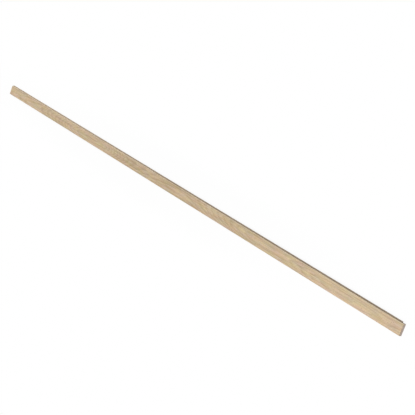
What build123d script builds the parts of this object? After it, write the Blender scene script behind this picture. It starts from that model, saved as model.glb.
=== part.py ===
from build123d import *
import os

# End trim for wall panels: one oak-faced board, machined with a tongue along its panel edge.
# Millimetres. The trim lies with its back on Z = 0 and its oak face up.
# X runs along its length, and +Y points to the wall panel that the tongue joins.
# The tongue runs out at the -X end and stops short of the +X end.
# The origin is under the middle of its length and of its overall width.

# Driving dimensions
trim_length = 2400.0  # end to end
face_width = 37.0  # oak face, from the finished edge to the shoulder
trim_thickness = 10.0  # back to oak face
tongue_reach = 3.0  # how far the tongue stands out past the shoulder
tongue_thickness = 5.0  # back to the tongue's upper cheek
tongue_setback = 12.0  # bare shoulder between the tongue and the +X end
finished_arris_radius = 0.5  # eased edge of the oak face on the finished side
joint_arris_radius = 1.0  # eased edge of the oak face above the tongue
back_arris_radius = 0.4  # eased edge of the back, on the finished side
tongue_nose_radius = 0.8  # lead-in on the tongue's upper outer edge

# Sizes that follow
overall_width = face_width + tongue_reach
tongue_length = trim_length - tongue_setback
finished_edge_y = -overall_width / 2
shoulder_y = finished_edge_y + face_width

os.makedirs("parts", exist_ok=True)

with BuildPart() as end_trim:
    # The board: an upright section of the full thickness, carried from end to end.
    # In its section, local X is the row's Y and local Y is the height.
    with BuildSketch(Plane.YZ.offset(-trim_length / 2)) as board_section:
        with Locations((finished_edge_y, 0)):
            Rectangle(face_width, trim_thickness, align=(Align.MIN, Align.MIN))
        joint_arris_corner = board_section.vertices().group_by(Axis.Y)[-1].sort_by(Axis.X)[-1]
        fillet(joint_arris_corner, radius=joint_arris_radius)
        finished_arris_corner = board_section.vertices().group_by(Axis.X)[0].sort_by(Axis.Y)[-1]
        fillet(finished_arris_corner, radius=finished_arris_radius)
        finished_back_corner = board_section.vertices().group_by(Axis.Y)[0].sort_by(Axis.X)[0]
        fillet(finished_back_corner, radius=back_arris_radius)
    extrude(amount=trim_length)

    # The tongue: flush with the back, from the -X end to where it is cut away
    with BuildSketch(Plane.YZ.offset(-trim_length / 2)) as tongue_section:
        with Locations((shoulder_y, 0)):
            Rectangle(tongue_reach, tongue_thickness, align=(Align.MIN, Align.MIN))
        tongue_nose_corner = tongue_section.vertices().group_by(Axis.X)[-1].sort_by(Axis.Y)[-1]
        fillet(tongue_nose_corner, radius=tongue_nose_radius)
    extrude(amount=tongue_length)

end_trim.part.label = "end_trim"
export_step(end_trim.part, "parts/end_trim.step")
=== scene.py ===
"""Studio picture of a wall panel end trim: a long oak-faced board with a low tongue along one edge.

The board lies on its back with the oak face up. X runs along its length, +Y points to the tongue and
+Z is up. Real sizes are named in millimetres and turned to metres where meshes are made.
"""

import logging
import math
from dataclasses import dataclass, field, fields
from enum import Enum
from typing import Any

import bpy
import numpy as np
from mathutils import Matrix, Vector


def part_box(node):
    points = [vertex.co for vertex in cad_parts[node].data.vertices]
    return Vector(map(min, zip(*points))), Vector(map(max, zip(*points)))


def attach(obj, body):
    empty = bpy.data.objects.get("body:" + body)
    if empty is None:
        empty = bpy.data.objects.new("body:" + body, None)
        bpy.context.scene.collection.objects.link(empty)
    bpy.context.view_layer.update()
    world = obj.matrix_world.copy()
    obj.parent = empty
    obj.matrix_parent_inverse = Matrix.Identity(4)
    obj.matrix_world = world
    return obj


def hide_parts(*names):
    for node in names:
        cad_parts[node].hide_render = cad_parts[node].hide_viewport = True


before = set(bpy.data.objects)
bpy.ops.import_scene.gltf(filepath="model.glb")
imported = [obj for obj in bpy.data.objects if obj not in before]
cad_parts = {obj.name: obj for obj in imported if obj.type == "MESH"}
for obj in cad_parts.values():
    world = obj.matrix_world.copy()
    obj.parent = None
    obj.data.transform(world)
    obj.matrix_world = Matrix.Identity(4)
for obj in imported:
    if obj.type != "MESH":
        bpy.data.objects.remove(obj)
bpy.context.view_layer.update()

# Short names for types. A Pair is two numbers, and a Place has one for each axis.
Tree = bpy.types.NodeTree
Node = bpy.types.Node
Socket = bpy.types.NodeSocket
Settings = dict[str | int, Any]
Links = dict[str | int, Socket]
Pair = tuple[float, float]
Place = tuple[float, float, float]
Stops = tuple[Pair, ...]

MM = 0.001
# How far a grain's shift moves it along each axis
SHIFT_SHARES = (1.0, 0.37, 0.61)
# A colour mixer's sockets go by number, because several of them share one name
MIX_SHARE, MIX_FIRST, MIX_SECOND, MIX_RESULT = 0, 6, 7, 2

log = logging.getLogger("end_trim")


class Finish(Enum):
    """The kinds of surface on the board. The value is the material slot's index on its mesh."""

    OAK_FACE = 0
    MACHINED_EDGE = 1
    SAWN_END = 2
    BACKING = 3


def hex_to_linear(code: str) -> tuple[float, float, float, float]:
    """Turns an sRGB hex colour into the linear colour that shaders use, by the standard's own curve.

    Args:
        code: six hex digits, such as "c8b496".

    Returns:
        Linear red, green and blue, and an alpha of 1.
    """
    values = [int(code[i : i + 2], 16) / 255 for i in (0, 2, 4)]
    red, green, blue = (v / 12.92 if v <= 0.04045 else ((v + 0.055) / 1.055) ** 2.4 for v in values)
    return red, green, blue, 1.0


def add_node(tree: Tree, kind: str, settings: Settings | None = None, links: Links | None = None) -> Node:
    """Adds a node with its settings and links.

    Args:
        tree: the node tree to add to.
        kind: the node's type name.
        settings: a property, or an input by name or index, and its value.
        links: an input by name or index, and the socket that feeds it.

    Returns:
        The new node.
    """
    node = tree.nodes.new(kind)
    for key, value in (settings or {}).items():
        if isinstance(key, str) and hasattr(node, key):
            setattr(node, key, value)
        else:
            node.inputs[key].default_value = value
    for key, socket in (links or {}).items():
        tree.links.new(socket, node.inputs[key])
    return node


def new_material(name: str) -> tuple[bpy.types.Material, Tree, Node]:
    """Makes a material that holds only a surface shader and the output.

    Args:
        name: the material's name.

    Returns:
        The material, its node tree and its surface shader.
    """
    material = bpy.data.materials.new(name)
    material.use_nodes = True
    tree = material.node_tree
    tree.nodes.clear()
    shader = add_node(tree, "ShaderNodeBsdfPrincipled")
    add_node(tree, "ShaderNodeOutputMaterial", links={"Surface": shader.outputs["BSDF"]})
    return material, tree, shader


def new_object(name: str, data: bpy.types.ID) -> bpy.types.Object:
    """Makes an object and puts it in the scene.

    Args:
        name: the object's name.
        data: its mesh, lamp or camera.

    Returns:
        The object.
    """
    made = bpy.data.objects.new(name, data)
    bpy.context.scene.collection.objects.link(made)
    return made


def ranged(tree: Tree, value: Socket, span: Pair, effect: Pair) -> Socket:
    """Maps a value from one range to another, and keeps it within the second.

    Args:
        tree: the node tree to add to.
        value: the value to map.
        span: the two values that become the two ends of effect.
        effect: the results at those two values.

    Returns:
        The mapped value.
    """
    limits = dict(zip(("From Min", "From Max", "To Min", "To Max"), (*span, *effect)))
    return add_node(tree, "ShaderNodeMapRange", limits, {"Value": value}).outputs["Result"]


def ramp(tree: Tree, place: Socket, stops: Stops) -> Socket:
    """Reads a value off a curve of straight stretches.

    Args:
        tree: the node tree to add to.
        place: the place on the curve, from 0 to 1.
        stops: the places where the curve bends, each with its value.

    Returns:
        The value at the place.
    """
    node = add_node(tree, "ShaderNodeValToRGB", links={"Fac": place})
    elements = node.color_ramp.elements
    for index, (position, value) in enumerate(stops):
        element = elements[index] if index < len(elements) else elements.new(position)
        element.position = position
        element.color = (value, value, value, 1.0)
    return node.outputs["Color"]


def mixed(
    tree: Tree, share: Socket | float, first: Socket | str, second: Socket | str, way: str = "MIX"
) -> Socket:
    """Mixes two colours.

    Args:
        tree: the node tree to add to.
        share: how much of the second colour shows.
        first: a colour socket, or a hex colour.
        second: a colour socket, or a hex colour.
        way: the blend type.

    Returns:
        The mixed colour.
    """
    settings: Settings = {"data_type": "RGBA", "blend_type": way}
    links: Links = {}
    for index, part in ((MIX_SHARE, share), (MIX_FIRST, first), (MIX_SECOND, second)):
        if isinstance(part, Socket):
            links[index] = part
        else:
            settings[index] = hex_to_linear(part) if isinstance(part, str) else part
    return add_node(tree, "ShaderNodeMix", settings, links).outputs[MIX_RESULT]


def maths(tree: Tree, operation: str, first: Socket | float, second: Socket | float = 0.0) -> Socket:
    """Adds one step of arithmetic on two values.

    Args:
        tree: the node tree to add to.
        operation: the name of the operation.
        first: the first value, as a socket or a number.
        second: the second value, as a socket or a number.

    Returns:
        The result.
    """
    settings: Settings = {"operation": operation}
    links: Links = {}
    for index, value in enumerate((first, second)):
        (links if isinstance(value, Socket) else settings)[index] = value
    return add_node(tree, "ShaderNodeMath", settings, links).outputs[0]


def mapped(tree: Tree, place: Socket, scale: Place, shift: Place = (0.0, 0.0, 0.0)) -> Socket:
    """Scales a place and then shifts it.

    Args:
        tree: the node tree to add to.
        place: the place.
        scale: what each of its parts is multiplied by.
        shift: what is then added to each part.

    Returns:
        The new place.
    """
    settings: Settings = {"Scale": scale, "Location": shift}
    return add_node(tree, "ShaderNodeMapping", settings, {"Vector": place}).outputs["Vector"]


def length_of(tree: Tree, place: Socket) -> Socket:
    """Gives a place's distance from the origin."""
    return add_node(tree, "ShaderNodeVectorMath", {"operation": "LENGTH"}, {0: place}).outputs["Value"]


def part_of(tree: Tree, place: Socket, axis: str) -> Socket:
    """Gives a place's X, Y or Z."""
    return add_node(tree, "ShaderNodeSeparateXYZ", links={"Vector": place}).outputs[axis]


def millimetres(tree: Tree, metres: Socket) -> Socket:
    """Turns a place in metres into millimetres, so that every pattern is sized in millimetres."""
    return mapped(tree, metres, (1 / MM,) * 3)


def object_place(tree: Tree) -> Socket:
    """Gives the place on the object in millimetres."""
    return millimetres(tree, add_node(tree, "ShaderNodeTexCoord").outputs["Object"])


def seen(tree: Tree) -> Socket:
    """Gives 1 where the camera looks, straight, by a reflection or through glass, and else 0.

    Args:
        tree: the node tree to add to.

    Returns:
        The 1 or 0.
    """
    path = add_node(tree, "ShaderNodeLightPath")
    straight = maths(tree, "MAXIMUM", path.outputs["Is Camera Ray"], path.outputs["Is Glossy Ray"])
    return maths(tree, "MAXIMUM", straight, path.outputs["Is Transmission Ray"])


def set_surface(
    tree: Tree,
    shader: Node,
    colour: Socket,
    roughness: Socket | float,
    height: Socket,
    depth_mm: float,
    strength: float,
) -> None:
    """Gives a surface its colour, its shine and a fine relief.

    Args:
        tree: the node tree to add to.
        shader: the surface shader.
        colour: the colour.
        roughness: the roughness, as a socket or a number.
        height: the relief, from 0 to 1.
        depth_mm: the depth from 0 to 1.
        strength: how much of the relief is felt.
    """
    tree.links.new(colour, shader.inputs["Base Color"])
    if isinstance(roughness, Socket):
        tree.links.new(roughness, shader.inputs["Roughness"])
    else:
        shader.inputs["Roughness"].default_value = roughness
    settings: Settings = {"Strength": strength, "Distance": depth_mm * MM}
    bump = add_node(tree, "ShaderNodeBump", settings, {"Height": height})
    tree.links.new(bump.outputs["Normal"], shader.inputs["Normal"])


@dataclass(frozen=True)
class Grain:
    """Smooth noise with blobs of a set size, and what it does at its low and high places.

    size_mm is a blob's length along each axis. span is the part of the noise's range that counts, and
    effect is the result at its two ends. shift moves the pattern, so that two grains of one size
    differ. detail is the number of finer layers and roughness is how strong each of them is.
    """

    size_mm: Place
    span: Pair
    effect: Pair
    shift: float = 0.0
    detail: float = 2.0
    roughness: float = 0.5

    def build(self, tree: Tree, place_mm: Socket) -> Socket:
        """Adds the noise.

        Args:
            tree: the node tree to add to.
            place_mm: the place on the surface, in millimetres.

        Returns:
            The noise, mapped to the effect.
        """
        scale = tuple(1 / size for size in self.size_mm)
        shift = tuple(self.shift * share for share in SHIFT_SHARES)
        settings: Settings = {"Scale": 1.0, "Detail": self.detail, "Roughness": self.roughness}
        links: Links = {"Vector": mapped(tree, place_mm, scale, shift)}
        noise = add_node(tree, "ShaderNodeTexNoise", settings, links)
        return ranged(tree, noise.outputs["Fac"], self.span, self.effect)


@dataclass(frozen=True)
class Cast:
    """A soft drift of hue: a grain from 0 to 1 that fades between two tints, which multiply the colour."""

    grain: Grain
    first_tint: str
    second_tint: str

    def apply(self, tree: Tree, place_mm: Socket, colour: Socket) -> Socket:
        """Tints a colour.

        Args:
            tree: the node tree to add to.
            place_mm: the place on the surface, in millimetres.
            colour: the colour to tint.

        Returns:
            The tinted colour.
        """
        tint = mixed(tree, self.grain.build(tree, place_mm), self.first_tint, self.second_tint)
        return mixed(tree, 1.0, colour, tint, "MULTIPLY")


@dataclass(frozen=True)
class OakVeneer:
    """Crown-cut oak veneer, sanded and sealed with matt lacquer.

    It gives the eye a pale straw-brown with long soft figure, short dark pores and hardly any shine.
    """

    name: str = "oak_veneer_matt_lacquered"
    leaf_map: str = "veneer_leaf"
    wear_and_highlight_attribute: str = "worn"
    pale_wood: str = "d9c2a3"
    dark_wood: str = "b19a78"
    pore: str = "8f744f"
    ray: str = "d8c6a6"
    raw_wood_and_highlight: str = "dccdb3"
    # How dark the wood is on the whole, at shares of the length from the -X end
    tone_along: Stops = ((0.0, 0.5), (0.26, 0.55), (0.54, 0.62), (0.7, 0.5), (1.0, 0.16))
    # Oak rings are 1 to 3 mm wide. These are drawn wider, because finer ones don't show from afar.
    ring_mm: float = 3.6
    ring_effect: Pair = (-0.22, 0.3)
    # How dark the wood is through one ring: early wood, then late wood, then the next ring's start
    ring_stops: Stops = ((0.0, 0.0), (0.35, 0.2), (0.78, 1.0), (0.93, 0.15), (1.0, 0.0))
    ring_wobble: Grain = Grain((38.0, 5.0, 1.0), (0.0, 1.0), (-0.45, 0.45), shift=29.0, detail=3.0)
    # Where the pith line is: its depth under the leaf, and minus its place on the way round the outline
    pith_depth_mm: Grain = Grain((620.0, 240.0, 1.0), (0.25, 0.75), (8.0, 72.0), shift=5.3, detail=1.0)
    pith_aside_mm: Grain = Grain((520.0, 300.0, 1.0), (0.2, 0.8), (-84.0, -58.0), shift=17.9, detail=1.0)
    # Real grain lines are under 1 mm wide. These are coarser, because finer ones don't show from afar.
    lines: Grain = Grain((64.0, 2.2, 1.0), (0.25, 0.75), (-0.42, 0.42), shift=37.0, roughness=0.6)
    streaks: Grain = Grain(
        (170.0, 5.0, 1.0), (0.25, 0.75), (-0.36, 0.36), shift=11.7, detail=3.0, roughness=0.6
    )
    clouds: Grain = Grain((120.0, 34.0, 1.0), (0.25, 0.75), (-0.16, 0.16), shift=6.3)
    casts: tuple[Cast, ...] = (
        Cast(Grain((46.0, 12.0, 1.0), (0.36, 0.64), (0.0, 1.0), shift=3.1), "f8faff", "fffff1"),
        Cast(Grain((58.0, 14.0, 1.0), (0.36, 0.64), (0.0, 1.0), shift=47.3), "fafffc", "fff8ff"),
    )
    rays: Grain = Grain((3.5, 0.7, 1.0), (0.62, 0.74), (0.0, 0.45), shift=23.0, detail=1.0)
    pores: Grain = Grain((9.0, 0.32, 1.0), (0.58, 0.68), (0.0, 0.8), shift=31.0, detail=1.0)
    # How much of a pore shows in early and in late wood, and how dark the ring is in each
    pore_share: Pair = (1.0, 0.35)
    pore_ring: Pair = (0.0, 0.7)
    # Paler raw wood where the lacquer is cut through, and a painted highlight where the arris catches light
    wear_and_highlight: Grain = Grain((28.0, 6.0, 1.0), (0.35, 0.7), (0.4, 0.95), shift=41.0, detail=3.0)
    roughness: Pair = (0.48, 0.62)
    pore_roughness: float = 0.2
    relief_mm: float = 0.06
    relief_strength: float = 0.6
    late_wood_relief: float = 0.25

    def build(self, half_length_mm: float) -> bpy.types.Material:
        """Makes the material.

        Args:
            half_length_mm: half the length of the leaf.

        Returns:
            The material.
        """
        material, tree, shader = new_material(self.name)
        leaf = add_node(tree, "ShaderNodeUVMap", {"uv_map": self.leaf_map})
        place = millimetres(tree, leaf.outputs["UV"])
        along = part_of(tree, place, "X")
        rings = self.rings(tree, place)
        streaks = self.streaks.build(tree, place)
        ringed = ranged(tree, rings, (0.0, 1.0), self.ring_effect)
        share_along = ranged(tree, along, (-half_length_mm, half_length_mm), (0.0, 1.0))
        dark = ramp(tree, share_along, self.tone_along)
        for part in (ringed, streaks, self.lines.build(tree, place), self.clouds.build(tree, place)):
            dark = maths(tree, "ADD", dark, part)
        wood = mixed(tree, dark, self.pale_wood, self.dark_wood)
        for cast in self.casts:
            wood = cast.apply(tree, place, wood)
        wood = mixed(tree, self.rays.build(tree, place), wood, self.ray)
        in_ring = ranged(tree, rings, self.pore_ring, self.pore_share)
        pores = maths(tree, "MULTIPLY", self.pores.build(tree, place), in_ring)
        wood = mixed(tree, pores, wood, self.pore)
        # The cut-through arris turns to paler raw wood, and that paleness is also a painted highlight
        cut_through_and_lit = add_node(tree, "ShaderNodeAttribute", {"attribute_name": self.wear_and_highlight_attribute})
        worn = maths(tree, "MULTIPLY", cut_through_and_lit.outputs["Fac"], self.wear_and_highlight.build(tree, place))
        wood = mixed(tree, worn, wood, self.raw_wood_and_highlight)
        gloss = ranged(tree, streaks, self.streaks.effect, self.roughness)
        rough = maths(tree, "ADD", gloss, maths(tree, "MULTIPLY", pores, self.pore_roughness))
        height = maths(tree, "SUBTRACT", maths(tree, "MULTIPLY", rings, -self.late_wood_relief), pores)
        set_surface(tree, shader, wood, rough, height, self.relief_mm, self.relief_strength)
        return material

    def rings(self, tree: Tree, place: Socket) -> Socket:
        """Adds the growth rings.

        The figure is that of a log cut along its length. Rings are circles about a pith line whose
        depth under the leaf wanders, so they meet the leaf in long nested arches. The distance to the
        pith line is the root of the sum of two squares, the way across and the depth. Counted in rings,
        its fraction runs from 0 to 1 through each.

        Args:
            tree: the node tree to add to.
            place: the place on the leaf, in millimetres.

        Returns:
            How dark the ring is, from 0 to 1.
        """
        depth = self.pith_depth_mm.build(tree, place)
        aside = maths(tree, "ADD", part_of(tree, place, "Y"), self.pith_aside_mm.build(tree, place))
        squares = [maths(tree, "MULTIPLY", side, side) for side in (aside, depth)]
        reach = maths(tree, "SQRT", maths(tree, "ADD", *squares))
        count = maths(tree, "MULTIPLY", reach, 1 / self.ring_mm)
        count = maths(tree, "ADD", count, self.ring_wobble.build(tree, place))
        return ramp(tree, maths(tree, "FRACT", count), self.ring_stops)


@dataclass(frozen=True)
class SawnFibreboard:
    """Medium-density fibreboard across its sawn end, under a thin edge of veneer.

    It gives the eye a dull grey-brown that is darker and denser near both faces, faint blade arcs,
    loose fibres, and a thin warm line where the veneer is cut through.
    """

    name: str = "fibreboard_sawn_end"
    core: str = "c2b2a6"
    dense_skin: str = "b09f91"
    fibre_dark: str = "a08e80"
    fibre_light: str = "cfc1b5"
    veneer_end: str = "b99f78"
    glue_line: str = "8d7a66"
    veneer_mm: float = 0.6
    glue_mm: float = 0.12
    edge_blur_mm: float = 0.04
    # Where the denser skin starts, as a share of the way from the middle to a face, and how much shows
    skin_start: float = 0.35
    skin_share: float = 0.85
    clumps: Grain = Grain((2.2, 1.8, 0.9), (0.35, 0.7), (0.0, 0.45), shift=2.0, detail=4.0, roughness=0.65)
    # Real fibres are under 0.1 mm thick. These are bundles of them.
    fibres: Grain = Grain((0.45, 1.08, 0.27), (0.55, 0.72), (0.0, 0.6), shift=7.0)
    blade_radius_mm: float = 125.0
    blade_aside_mm: float = 18.0
    blade_pitch_mm: float = 1.1
    blade_share: float = 0.16
    blade_relief: float = 0.6
    relief_mm: float = 0.12
    relief_strength: float = 0.7
    roughness: float = 0.86

    def build(self, outer_y_mm: float, thickness_mm: float) -> bpy.types.Material:
        """Makes the material.

        Args:
            outer_y_mm: where the finished edge is.
            thickness_mm: the board's thickness.

        Returns:
            The material.
        """
        material, tree, shader = new_material(self.name)
        place = object_place(tree)
        height = part_of(tree, place, "Z")
        middle = thickness_mm / 2
        from_middle = maths(tree, "ABSOLUTE", maths(tree, "SUBTRACT", height, middle))
        skin = ranged(tree, from_middle, (middle * self.skin_start, middle), (0.0, self.skin_share))
        board = mixed(tree, skin, self.core, self.dense_skin)
        board = mixed(tree, self.clumps.build(tree, place), board, self.fibre_dark)
        fibres = self.fibres.build(tree, place)
        board = mixed(tree, fibres, board, self.fibre_light)
        blade = self.blade_arcs(tree, place)
        board = mixed(tree, maths(tree, "MULTIPLY", blade, self.blade_share), board, self.fibre_dark)
        under_face = maths(tree, "SUBTRACT", thickness_mm, height)
        in_from_edge = maths(tree, "SUBTRACT", part_of(tree, place, "Y"), outer_y_mm)
        nearest = maths(tree, "MINIMUM", under_face, in_from_edge)
        glue_depth = self.veneer_mm + self.glue_mm
        for depth, colour in ((glue_depth, self.glue_line), (self.veneer_mm, self.veneer_end)):
            share = ranged(tree, nearest, (depth, depth - self.edge_blur_mm), (0.0, 1.0))
            board = mixed(tree, share, board, colour)
        relief = maths(tree, "ADD", maths(tree, "MULTIPLY", blade, self.blade_relief), fibres)
        set_surface(tree, shader, board, self.roughness, relief, self.relief_mm, self.relief_strength)
        return material

    def blade_arcs(self, tree: Tree, place: Socket) -> Socket:
        """Adds the faint arcs of a circular saw: a sine of the distance to a blade centre below the board.

        The scale drops X, because the cut is flat.

        Args:
            tree: the node tree to add to.
            place: the place on the end, in millimetres.

        Returns:
            The arcs, from 0 to 1.
        """
        shift = (0.0, self.blade_aside_mm, self.blade_radius_mm)
        reach = length_of(tree, mapped(tree, place, (0.0, 1.0, 1.0), shift))
        turns = maths(tree, "MULTIPLY", reach, 2 * math.pi / self.blade_pitch_mm)
        return ranged(tree, maths(tree, "SINE", turns), (-1.0, 1.0), (0.0, 1.0))


@dataclass(frozen=True)
class MachinedFibreboard:
    """Fibreboard cut by a moulder's cutter head, on the shoulder and the tongue.

    It gives the eye a smoother, warmer brown than the sawn end, with fine cutter ripples across the run.
    """

    name: str = "fibreboard_machined_edge"
    brown: str = "c4b199"
    brown_dark: str = "b29e85"
    brown_light: str = "d1c1ab"
    drift: Grain = Grain((140.0, 9.0, 5.0), (0.3, 0.7), (0.0, 1.0), shift=4.0, detail=3.0)
    fuzz: Grain = Grain((2.6, 0.5, 0.5), (0.52, 0.75), (0.0, 0.7), shift=9.0, detail=3.0, roughness=0.6)
    ripple_mm: float = 1.4
    # The part of a ripple's rise, from -1 to 1, over which it darkens
    ripple_crest: Pair = (0.2, 1.0)
    ripple_share: float = 0.18
    ripple_relief: float = 0.3
    relief_mm: float = 0.08
    relief_strength: float = 0.6
    roughness: float = 0.78

    def build(self) -> bpy.types.Material:
        """Makes the material. Ripples are a sine along the length, one for each pass of a knife.

        Returns:
            The material.
        """
        material, tree, shader = new_material(self.name)
        place = object_place(tree)
        board = mixed(tree, self.drift.build(tree, place), self.brown_dark, self.brown)
        fuzz = self.fuzz.build(tree, place)
        board = mixed(tree, fuzz, board, self.brown_light)
        turns = maths(tree, "MULTIPLY", part_of(tree, place, "X"), 2 * math.pi / self.ripple_mm)
        ripple = maths(tree, "SINE", turns)
        share = ranged(tree, ripple, self.ripple_crest, (0.0, self.ripple_share))
        board = mixed(tree, share, board, self.brown_dark)
        relief = maths(tree, "ADD", maths(tree, "MULTIPLY", ripple, self.ripple_relief), fuzz)
        set_surface(tree, shader, board, self.roughness, relief, self.relief_mm, self.relief_strength)
        return material


@dataclass(frozen=True)
class BackingPaper:
    """Brown balancing paper pressed on the back of the board.

    It gives the eye a plain warm brown sheet with cloudy pulp and a faint sheen from its resin.
    """

    name: str = "balancing_paper_brown"
    paper: str = "b59a78"
    pulp_dark: str = "a0865f"
    pulp_light: str = "c3ab8c"
    clouds: Grain = Grain((22.0, 14.0, 14.0), (0.35, 0.7), (0.0, 0.6), detail=5.0, roughness=0.6)
    fibres: Grain = Grain((3.0, 0.5, 0.5), (0.58, 0.72), (0.0, 0.5), shift=13.0)
    relief_mm: float = 0.05
    relief_strength: float = 0.4
    roughness: float = 0.7

    def build(self) -> bpy.types.Material:
        """Makes the material.

        Returns:
            The material.
        """
        material, tree, shader = new_material(self.name)
        place = object_place(tree)
        paper = mixed(tree, self.clouds.build(tree, place), self.paper, self.pulp_dark)
        fibres = self.fibres.build(tree, place)
        paper = mixed(tree, fibres, paper, self.pulp_light)
        set_surface(tree, shader, paper, self.roughness, fibres, self.relief_mm, self.relief_strength)
        return material


@dataclass
class Run:
    """One stretch of the section's outline, straight or round.

    points and out hold the (y, z) place and the outward direction at each of its points, both ends
    included. is_worn_and_lit tells whether the cutter went through the lacquer, which leaves the wood
    paler, and whether the arris carries a painted highlight for the light that it catches.
    """

    points: np.ndarray
    out: np.ndarray
    finish: Finish
    on_tongue: bool = False
    is_worn_and_lit: bool = False


@dataclass
class Outline:
    """One closed outline of the board's section, counter-clockwise as seen from +X, in short stretches.

    Entry j is the stretch from point j to the next one. start is point j as (y, z), and start_out and
    end_out are the outward directions at the stretch's two ends. bare_start is start where the tongue
    is cut away, with the tongue's points moved on to the shoulder. way is the distance round the
    outline, with one more entry than there are points. worn is 1 where the lacquer is cut through,
    which also marks where a painted highlight stands for the light on the arris.
    """

    start: np.ndarray
    start_out: np.ndarray
    end_out: np.ndarray
    bare_start: np.ndarray
    finish: np.ndarray
    way: np.ndarray
    worn: np.ndarray
    on_tongue: np.ndarray


@dataclass
class Faces:
    """A set of faces with four corners each.

    points holds a point's index for each corner, and finish is each face's. normals holds the outward
    direction at each corner. leaf is the corner's place on the unrolled surface and fold its place on
    the bake's map, both in millimetres.
    """

    points: np.ndarray
    finish: np.ndarray
    normals: np.ndarray
    leaf: np.ndarray
    fold: np.ndarray

    @staticmethod
    def between(rows: np.ndarray) -> np.ndarray:
        """Gives the corners of the faces between rows of points that each close on themselves."""
        beside = np.roll(rows, -1, axis=1)
        return np.stack([rows[:-1], beside[:-1], beside[1:], rows[1:]], axis=-1)

    @classmethod
    def joined(cls, parts: list["Faces"]) -> "Faces":
        """Joins several sets into one."""
        names = [each.name for each in fields(cls)]
        return cls(*(np.concatenate([getattr(part, name) for part in parts]) for name in names))


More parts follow.
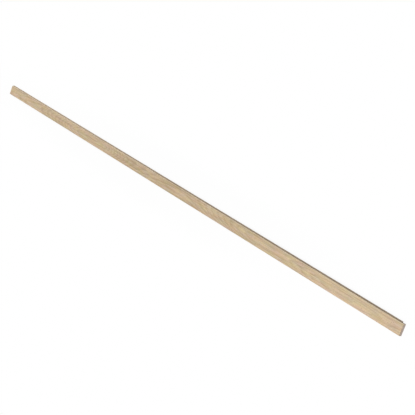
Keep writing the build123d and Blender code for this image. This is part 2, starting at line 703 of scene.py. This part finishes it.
@dataclass
class EndTrimBoard:
    """The whole trim: a board with an oak face, a finished edge, a shoulder and a tongue.

    Its tongue and radii have the part's own sizes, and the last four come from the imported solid.
    """

    name: str = "end_trim_board"
    node: str = "end_trim"
    body: str = "root"
    slot: str = "oak_faced_board"
    bake_map: str = "OFBake"
    tongue_reach_mm: float = 3.0
    tongue_thickness_mm: float = 5.0
    tongue_setback_mm: float = 12.0
    finished_arris_mm: float = 0.5
    joint_arris_mm: float = 1.0
    back_arris_mm: float = 0.4
    tongue_nose_mm: float = 0.8
    point_pitch_mm: float = 1.2
    station_pitch_mm: float = 12.0
    # Stations past the tongue's short end, as shares of the setback that are still to go
    bare_stations: tuple[float, ...] = (1.0, 0.55, 0.25, 0.1, 0.03, 0.0)
    arc_steps: int = 6
    # Outlines that close a cut end, as shares of the way out from its middle
    cap_shares: tuple[float, ...] = (0.965, 0.8, 0.4)
    # Breakouts reach this deep. A high power leaves most of them far shallower.
    breakout_mm: float = 0.25
    breakout_power: int = 3
    core_breakout_share: float = 0.35
    bake_strips: int = 5
    bake_gap_mm: float = 2.5
    seed: int = 7
    oak: OakVeneer = field(default_factory=OakVeneer)
    machined: MachinedFibreboard = field(default_factory=MachinedFibreboard)
    sawn: SawnFibreboard = field(default_factory=SawnFibreboard)
    backing: BackingPaper = field(default_factory=BackingPaper)
    half_length_mm: float = field(init=False)
    thickness_mm: float = field(init=False)
    outer_y_mm: float = field(init=False)
    shoulder_y_mm: float = field(init=False)

    def __post_init__(self) -> None:
        """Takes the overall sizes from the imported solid."""
        low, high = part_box(self.node)
        self.half_length_mm = (high.x - low.x) / 2 / MM
        self.thickness_mm = (high.z - low.z) / MM
        self.outer_y_mm = low.y / MM
        self.shoulder_y_mm = high.y / MM - self.tongue_reach_mm

    def line(self, start: Pair, end: Pair, finish: Finish, on_tongue: bool = False) -> Run:
        """Makes a straight stretch.

        Each point is start plus an even share of the way to end. The outward direction is the way from
        start to end, turned a quarter turn clockwise.

        Args:
            start: where it starts, as (y, z).
            end: where it ends.
            finish: its surface.
            on_tongue: whether it goes where the tongue is cut away.

        Returns:
            The stretch.
        """
        first, last = np.array(start), np.array(end)
        length = float(np.linalg.norm(last - first))
        steps = max(1, round(length / self.point_pitch_mm))
        share = np.linspace(0.0, 1.0, steps + 1)[:, None]
        run = (last - first) / length
        out = np.tile([run[1], -run[0]], (steps + 1, 1))
        return Run(first + (last - first) * share, out, finish, on_tongue)

    def arc(
        self,
        corner: Pair,
        radius: float,
        quarter: int,
        finish: Finish,
        on_tongue: bool = False,
        is_worn_and_lit: bool = False,
    ) -> Run:
        """Makes a quarter circle that eases a corner.

        The outward direction is the cosine and sine of an angle that grows evenly over a quarter turn,
        from as many quarter turns as quarter says. The centre is the corner less the radius times the
        sum of the first and last directions, and each point is the centre plus the radius times the
        direction.

        Args:
            corner: the sharp corner that it replaces, as (y, z).
            radius: its radius.
            quarter: which quarter of the circle it is, where 0 faces +Y and +Z.
            finish: its surface.
            on_tongue: whether it goes where the tongue is cut away.
            is_worn_and_lit: whether the lacquer is cut through there, which also paints a highlight on the
                arris.

        Returns:
            The stretch.
        """
        angle = (quarter + np.linspace(0.0, 1.0, self.arc_steps + 1)) * math.pi / 2
        out = np.stack([np.cos(angle), np.sin(angle)], axis=1)
        centre = np.array(corner) - radius * (out[0] + out[-1])
        return Run(centre + radius * out, out, finish, on_tongue, is_worn_and_lit)

    def runs(self) -> list[Run]:
        """Lists the stretches of the section's outline.

        They start on the back, run under the tongue and round it, up the shoulder, over the oak face
        and down the finished edge.

        Returns:
            The stretches, each from where the last one ends.
        """
        outer, shoulder, top = self.outer_y_mm, self.shoulder_y_mm, self.thickness_mm
        tip, cheek = shoulder + self.tongue_reach_mm, self.tongue_thickness_mm
        joint, edge, back = self.joint_arris_mm, self.finished_arris_mm, self.back_arris_mm
        nose = self.tongue_nose_mm
        return [
            self.line((outer + back, 0.0), (shoulder, 0.0), Finish.BACKING),
            self.line((shoulder, 0.0), (tip, 0.0), Finish.MACHINED_EDGE, on_tongue=True),
            self.line((tip, 0.0), (tip, cheek - nose), Finish.MACHINED_EDGE, on_tongue=True),
            self.arc((tip, cheek), nose, 0, Finish.MACHINED_EDGE, on_tongue=True),
            self.line((tip - nose, cheek), (shoulder, cheek), Finish.MACHINED_EDGE, on_tongue=True),
            self.line((shoulder, cheek), (shoulder, top - joint), Finish.MACHINED_EDGE),
            # The joint arris is paler raw wood, and partly a painted highlight of the light that it catches
            self.arc((shoulder, top), joint, 0, Finish.OAK_FACE, is_worn_and_lit=True),
            self.line((shoulder - joint, top), (outer + edge, top), Finish.OAK_FACE),
            self.arc((outer, top), edge, 1, Finish.OAK_FACE),
            self.line((outer, top - edge), (outer, back), Finish.OAK_FACE),
            self.arc((outer, 0.0), back, 2, Finish.OAK_FACE),
        ]

    def outline(self) -> Outline:
        """Joins the stretches into one outline.

        Where the tongue is cut away, its points go up the shoulder at an even share of the way round it.

        Returns:
            The outline.
        """
        runs = self.runs()
        counts = [len(run.points) - 1 for run in runs]
        start = np.concatenate([run.points[:-1] for run in runs])
        end = np.concatenate([run.points[1:] for run in runs])
        way = np.concatenate([[0.0], np.cumsum(np.linalg.norm(end - start, axis=1))])
        on_tongue = np.repeat([run.on_tongue for run in runs], counts)
        first, last = np.flatnonzero(on_tongue)[[0, -1]]
        share = np.clip((way[:-1] - way[first]) / (way[last + 1] - way[first]), 0.0, 1.0)
        heights = share * self.tongue_thickness_mm
        bare = np.stack([np.full(len(start), self.shoulder_y_mm), heights], axis=1)
        return Outline(
            start=start,
            start_out=np.concatenate([run.out[:-1] for run in runs]),
            end_out=np.concatenate([run.out[1:] for run in runs]),
            bare_start=np.where(on_tongue[:, None], bare, start),
            finish=np.repeat([run.finish.value for run in runs], counts),
            way=way,
            worn=np.repeat([float(run.is_worn_and_lit) for run in runs], counts),
            on_tongue=on_tongue,
        )

    def stations(self) -> tuple[np.ndarray, int]:
        """Works out the places along the length that carry the outline.

        They are even along the tongue and closer together past its short end, where two stand at one
        place, one with the tongue and one without.

        Returns:
            The place of each station in millimetres, and the index of the last one with the tongue.
        """
        half = self.half_length_mm
        stop = half - self.tongue_setback_mm
        along = np.linspace(-half, stop, round((half + stop) / self.station_pitch_mm) + 1)
        past = half - self.tongue_setback_mm * np.array(self.bare_stations)
        return np.concatenate([along, past]), len(along) - 1

    def breakout(self, rows: int, finish: np.ndarray) -> np.ndarray:
        """Gives the tiny breakouts that a saw leaves along each cut end.

        Each point of the first and last outline is pushed in by breakout_mm times a power of a random
        share, and less where there is no veneer.

        Args:
            rows: the number of stations.
            finish: the finish at each point of the outline.

        Returns:
            How far each point moves along X, in millimetres.
        """
        rng = np.random.default_rng(self.seed)
        push = np.zeros((rows, len(finish)))
        weight = np.where(finish == Finish.OAK_FACE.value, 1.0, self.core_breakout_share)
        for row, inwards in ((0, 1.0), (-1, -1.0)):
            share = rng.random(len(finish)) ** self.breakout_power
            push[row] = inwards * self.breakout_mm * weight * share
        return push

    def build(self) -> bpy.types.Object:
        """Builds the board as one closed surface.

        Point (i, j) is outline point j at station i. Where the tongue is cut away its points lie on the
        shoulder, so the faces between the paired stations close the tongue's end, and every other point
        is shared by the pair. Each cut end is closed by shrunken copies of the last outline that meet in
        one point.

        Returns:
            The finished object.
        """
        outline = self.outline()
        places, stop = self.stations()
        count, rows = len(outline.start), len(places)
        has_tongue = np.arange(rows) <= stop
        section = np.where(has_tongue[:, None, None], outline.start, outline.bare_start)
        x = places[:, None] + self.breakout(rows, outline.finish)
        points = np.concatenate([x[..., None], section], axis=2).reshape(-1, 3)
        index = np.arange(rows * count).reshape(rows, count)
        # The tongue's first point is the foot of the shoulder, so it stays where it is
        moves = outline.on_tongue.copy()
        moves[np.argmax(moves)] = False
        index[stop + 1] = np.where(moves, index[stop + 1], index[stop])
        parts = [self.sides(outline, places, stop, index, points)]
        for order, (rim, side) in enumerate(((index[0], -1.0), (index[-1], 1.0))):
            more, cap = self.cap(points, rim, side, order)
            points = np.concatenate([points, more])
            parts.append(cap)
        # A point is worn, and carries the painted highlight, where a stretch on either side of it is
        worn = np.zeros(len(points))
        worn[: rows * count] = np.tile(np.maximum(outline.worn, np.roll(outline.worn, 1)), rows)
        return self.to_object(points, worn, Faces.joined(parts))

    def sides(
        self, outline: Outline, places: np.ndarray, stop: int, index: np.ndarray, points: np.ndarray
    ) -> Faces:
        """Makes the faces between the stations, and with them the tongue's short end.

        The outward direction is the outline's own, the shoulder's where the tongue is cut away, and +X
        on the tongue's end. On the unrolled surface, the first number is the place along the length and
        the second is the way round the outline. The bake's map cuts that surface across into equal
        strips, one above the other, and puts the tongue's end after the two cut ends.

        Args:
            outline: the section's outline.
            places: the place of each station.
            stop: the index of the last station with the tongue.
            index: the index of each station's points.
            points: all points so far.

        Returns:
            The faces.
        """
        rows, count = index.shape
        quads = Faces.between(index)
        finish = np.tile(outline.finish, (rows - 1, 1))
        finish[stop] = Finish.SAWN_END.value
        first = np.pad(outline.start_out, ((0, 0), (1, 0)))
        second = np.pad(outline.end_out, ((0, 0), (1, 0)))
        normals = np.tile(np.stack([first, second, second, first], axis=1), (rows - 1, 1, 1, 1))
        normals[stop:, outline.on_tongue] = (0.0, 1.0, 0.0)
        normals[stop] = (1.0, 0.0, 0.0)
        near, far = places[:-1, None], places[1:, None]
        way, next_way = outline.way[:-1], outline.way[1:]
        along, around = np.broadcast_arrays(
            np.stack([near, near, far, far], axis=-1), np.stack([way, next_way, next_way, way], axis=-1)
        )
        strip_mm = self.strip_mm()
        strip = ((near + far) / 2 + self.half_length_mm) // strip_mm
        strip = np.minimum(strip, self.bake_strips - 1)[..., None]
        over = strip * (outline.way[-1] + self.bake_gap_mm)
        fold = np.stack([along + self.half_length_mm - strip * strip_mm, around + over], axis=-1)
        fold[stop] = self.lay_flat(points[quads[stop]], order=2)
        leaf = np.stack([along, around], axis=-1)
        keep = np.ones((rows - 1, count), bool)
        keep[stop] = outline.on_tongue
        return Faces(*(part[keep] for part in (quads, finish, normals, leaf, fold)))

    def cap(self, points: np.ndarray, rim: np.ndarray, side: float, order: int) -> tuple[np.ndarray, Faces]:
        """Closes a cut end.

        Each inner outline is the rim drawn towards a middle point by a share, flat in the plane of the
        cut. The last one is the middle point itself, so the innermost faces have it twice.

        Args:
            points: all points so far.
            rim: the indices of the last outline's points.
            side: 1 at the +X end and -1 at the -X end.
            order: its place among the flat ends on the bake's map.

        Returns:
            The new points, and the faces.
        """
        middle_y = (self.outer_y_mm + self.shoulder_y_mm) / 2
        middle = np.array([0.0, middle_y, self.tongue_thickness_mm / 2])
        inner = middle + (points[rim][None] - middle) * np.array(self.cap_shares)[:, None, None]
        inner = np.concatenate([inner.reshape(-1, 3), middle[None]])
        inner[:, 0] = side * self.half_length_mm
        rings, count = len(self.cap_shares), len(rim)
        grid = np.concatenate([rim[None], len(points) + np.arange(rings * count).reshape(rings, count)])
        grid = np.concatenate([grid, np.full((1, count), len(points) + rings * count)])
        quads = Faces.between(grid).reshape(-1, 4)
        quads = quads if side > 0 else quads[:, ::-1]
        fold = self.lay_flat(np.concatenate([points, inner])[quads], order)
        normals = np.tile([side, 0.0, 0.0], (len(quads), 4, 1))
        finish = np.full(len(quads), Finish.SAWN_END.value)
        return inner, Faces(quads, finish, normals, np.zeros(fold.shape), fold)

    def strip_mm(self) -> float:
        """Gives the length of one strip on the bake's map."""
        return 2 * self.half_length_mm / self.bake_strips

    def lay_flat(self, corners: np.ndarray, order: int) -> np.ndarray:
        """Gives the place on the bake's map of faces that lie across the board.

        They keep their y and z, and stand beside the strips, one end above the other.

        Args:
            corners: the corners' points.
            order: how many ends are below this one.

        Returns:
            The places, in millimetres.
        """
        left = self.strip_mm() + self.bake_gap_mm - self.outer_y_mm
        return corners[..., 1:] + (left, order * (self.thickness_mm + self.bake_gap_mm))

    def to_object(self, points: np.ndarray, worn: np.ndarray, faces: Faces) -> bpy.types.Object:
        """Puts the arrays into a mesh object.

        A corner that repeats the one before it is dropped, which turns such a face into a triangle, and
        points that no face uses are left out. The bake's map is shrunk into the unit square.

        Args:
            points: all points, in millimetres.
            worn: 1 at each point where the lacquer is cut through and the arris's highlight is painted.
            faces: the faces.

        Returns:
            The object.
        """
        used, renumbered = np.unique(faces.points, return_inverse=True)
        corners = renumbered.reshape(-1, 4)
        real = corners != np.roll(corners, 1, axis=1)
        sizes = real.sum(axis=1)
        mesh = bpy.data.meshes.new(self.name)
        mesh.vertices.add(len(used))
        mesh.vertices.foreach_set("co", (points[used] * MM).astype(np.float32).ravel())
        mesh.loops.add(int(sizes.sum()))
        mesh.loops.foreach_set("vertex_index", corners[real].astype(np.int32))
        mesh.polygons.add(len(corners))
        mesh.polygons.foreach_set("loop_start", (np.cumsum(sizes) - sizes).astype(np.int32))
        mesh.polygons.foreach_set("material_index", faces.finish.astype(np.int32))
        mesh.polygons.foreach_set("use_smooth", np.ones(len(corners), bool))
        side = faces.fold.max() + self.bake_gap_mm
        for name, places in ((self.oak.leaf_map, faces.leaf * MM), (self.bake_map, faces.fold / side)):
            layer = mesh.uv_layers.new(name=name)
            layer.data.foreach_set("uv", places[real].astype(np.float32).ravel())
        # The paler cut-through arris, which is also its painted highlight
        wear_and_highlight = mesh.attributes.new(self.oak.wear_and_highlight_attribute, "FLOAT", "POINT")
        wear_and_highlight.data.foreach_set("value", worn[used].astype(np.float32))
        mesh.update(calc_edges=True)
        mesh.normals_split_custom_set(faces.normals[real])
        return new_object(self.name, mesh)

    def dress(self, board: bpy.types.Object) -> None:
        """Gives the board its materials, in the order of Finish, and ties it to the frame.

        Args:
            board: the board's object.
        """
        for material in (
            self.oak.build(self.half_length_mm),
            self.machined.build(),
            self.sawn.build(self.outer_y_mm, self.thickness_mm),
            self.backing.build(),
        ):
            board.data.materials.append(material)
        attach(board, self.body)
        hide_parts(self.node)


@dataclass(frozen=True)
class SoftBox:
    """One square soft lamp that stands at a place and faces another."""

    name: str
    place_m: Place
    aim_m: Place
    size_m: float
    watts: float

    def build(self) -> None:
        """Makes the lamp."""
        data = bpy.data.lights.new(self.name, "AREA")
        data.shape = "SQUARE"
        data.size = self.size_m
        data.energy = self.watts
        lamp = new_object(self.name, data)
        lamp.location = self.place_m
        lamp.rotation_mode = "QUATERNION"
        lamp.rotation_quaternion = (Vector(self.place_m) - Vector(self.aim_m)).to_track_quat("Z", "Y")


@dataclass(frozen=True)
class Studio:
    """The pale floor, the soft light and the camera."""

    floor_size_m: float = 60.0
    floor_drop_mm: float = 0.05
    floor_white: str = "fafafa"
    # The part of the floor's true shading that the camera sees near the board, the half lengths of the
    # ellipse on which it fades out, and where on the way to the ellipse the fading starts and ends
    floor_shadow_share: float = 0.1
    floor_shadow_reach_m: Pair = (1.6, 0.14)
    floor_shadow_fade: Pair = (0.6, 1.0)
    sky_level: float = 0.42
    boxes: tuple[SoftBox, ...] = (
        SoftBox("key_box", (1.54, -1.61, 1.82), (0.6, 0.0, 0.0), 1.0, 46.5),
        SoftBox("far_end_box", (-1.23, 0.91, 1.31), (-0.7, 0.0, 0.0), 0.9, 13.0),
    )
    camera_mm: Place = (3083.14, 703.02, 2586.35)
    look_azimuth_deg: float = 103.822
    look_elevation_deg: float = 41.531
    roll_deg: float = -78.882
    lens_mm: float = 98.305
    sensor_mm: float = 36.0
    clip_m: Pair = (0.1, 100.0)

    def floor(self) -> None:
        """Makes the floor, which isn't part of the object."""
        half = self.floor_size_m / 2
        drop = -self.floor_drop_mm * MM
        corners = [(x * half, y * half, drop) for x, y in ((-1, -1), (1, -1), (1, 1), (-1, 1))]
        mesh = bpy.data.meshes.new("floor")
        mesh.from_pydata(corners, [], [[0, 1, 2, 3]])
        mesh.materials.append(self.paper())
        floor = new_object("floor", mesh)

    def paper(self) -> bpy.types.Material:
        """Makes the floor's white paper, which lights the board from below and keeps its faint shadow.

        The camera sees it mostly as even white. Near the board a share of its true shading stays, so
        the shadow shows. The share falls to nothing on an ellipse about the board, and there is none
        from below.

        Returns:
            The material.
        """
        material, tree, shader = new_material("studio_paper_white")
        shader.inputs["Base Color"].default_value = hex_to_linear(self.floor_white)
        shader.inputs["Roughness"].default_value = 1.0
        shader.inputs["Specular IOR Level"].default_value = 0.0
        reach_x, reach_y = self.floor_shadow_reach_m
        place = add_node(tree, "ShaderNodeTexCoord").outputs["Object"]
        away = length_of(tree, mapped(tree, place, (1 / reach_x, 1 / reach_y, 0.0)))
        even = ranged(tree, away, self.floor_shadow_fade, (1.0 - self.floor_shadow_share, 1.0))
        below = add_node(tree, "ShaderNodeNewGeometry").outputs["Backfacing"]
        share = maths(tree, "MULTIPLY", maths(tree, "MAXIMUM", even, below), seen(tree))
        white = add_node(tree, "ShaderNodeEmission", {"Strength": 1.0})
        links: Links = {0: share, 1: shader.outputs["BSDF"], 2: white.outputs[0]}
        blend = add_node(tree, "ShaderNodeMixShader", links=links)
        output = next(n for n in tree.nodes if n.type == "OUTPUT_MATERIAL")
        tree.links.new(blend.outputs[0], output.inputs["Surface"])
        return material

    def sky(self) -> None:
        """Makes the even sky light, which the camera sees as white."""
        world = bpy.data.worlds.new("studio_sky")
        bpy.context.scene.world = world
        world.use_nodes = True
        tree = world.node_tree
        tree.nodes.clear()
        level = ranged(tree, seen(tree), (0.0, 1.0), (self.sky_level, 1.0))
        white: Settings = {"Color": hex_to_linear("ffffff")}
        light = add_node(tree, "ShaderNodeBackground", white, {"Strength": level})
        add_node(tree, "ShaderNodeOutputWorld", links={"Surface": light.outputs["Background"]})

    def camera(self) -> None:
        """Makes the camera: it looks down on the board along its length, turned on its side."""
        data = bpy.data.cameras.new("camera")
        data.lens = self.lens_mm
        data.sensor_width = self.sensor_mm
        data.clip_start, data.clip_end = self.clip_m
        camera = new_object("camera", data)
        azimuth, elevation = math.radians(self.look_azimuth_deg), math.radians(self.look_elevation_deg)
        level = math.cos(elevation)
        forward = Vector((-math.sin(azimuth) * level, math.cos(azimuth) * level, -math.sin(elevation)))
        right = forward.cross(Vector((0.0, 0.0, 1.0))).normalized()
        upright = Matrix((right, right.cross(forward), -forward)).transposed()
        turned = upright @ Matrix.Rotation(math.radians(self.roll_deg), 3, "Z")
        camera.matrix_world = Matrix.Translation(Vector(self.camera_mm) * MM) @ turned.to_4x4()
        bpy.context.scene.camera = camera

    def build(self) -> None:
        """Builds the studio and sets the plain view of colours."""
        self.camera()
        self.floor()
        self.sky()
        for box in self.boxes:
            box.build()
        bpy.context.scene.view_settings.view_transform = "Standard"


def main() -> None:
    """Builds the board and then its studio, and reports the pieces."""
    logging.basicConfig(level=logging.INFO, format="%(name)s: %(message)s")
    trim = EndTrimBoard()
    board = trim.build()
    trim.dress(board)
    mesh = board.data
    log.info("%s has %d points and %d faces", board.name, len(mesh.vertices), len(mesh.polygons))
    Studio().build()


if __name__ == "__main__":
    main()
